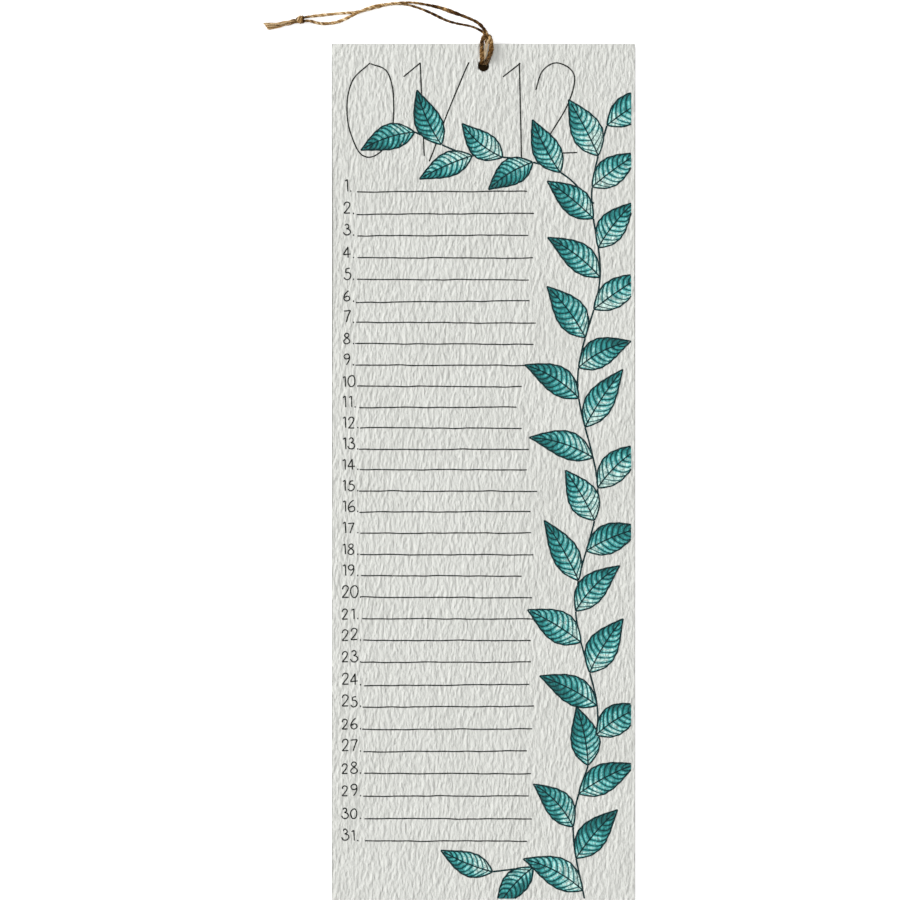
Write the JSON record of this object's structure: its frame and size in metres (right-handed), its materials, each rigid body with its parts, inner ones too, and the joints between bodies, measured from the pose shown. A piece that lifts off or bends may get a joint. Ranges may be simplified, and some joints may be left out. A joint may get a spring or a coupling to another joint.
{
  "type": "perpetual calendar",
  "caption": "Tall hanging perpetual calendar: a stack of heavy embossed month sheets, punched at the head and hung from a hitched, knotted loop of jute twine.",
  "frame": {"origin": "on the table, under the middle of the stack of sheets, which lies face up", "axes": "+X across the sheets to the right, +Y along them to the head with the twine, +Z out of the printed face"},
  "size_m": [0.1803, 0.442, 0.0087],
  "materials": {
    "embossed_paper": "matte, embossed with long wavy ridges",
    "jute_twine": "dry twisted natural fibre"
  },
  "bodies": {
    "root": {"month_sheets": "embossed_paper", "twine_bight": "jute_twine", "twine_strand_inner": "jute_twine", "twine_strand_outer": "jute_twine", "twine_knot": "jute_twine", "twine_end_lower": "jute_twine", "twine_end_upper": "jute_twine"}
  },
  "joints": []
}
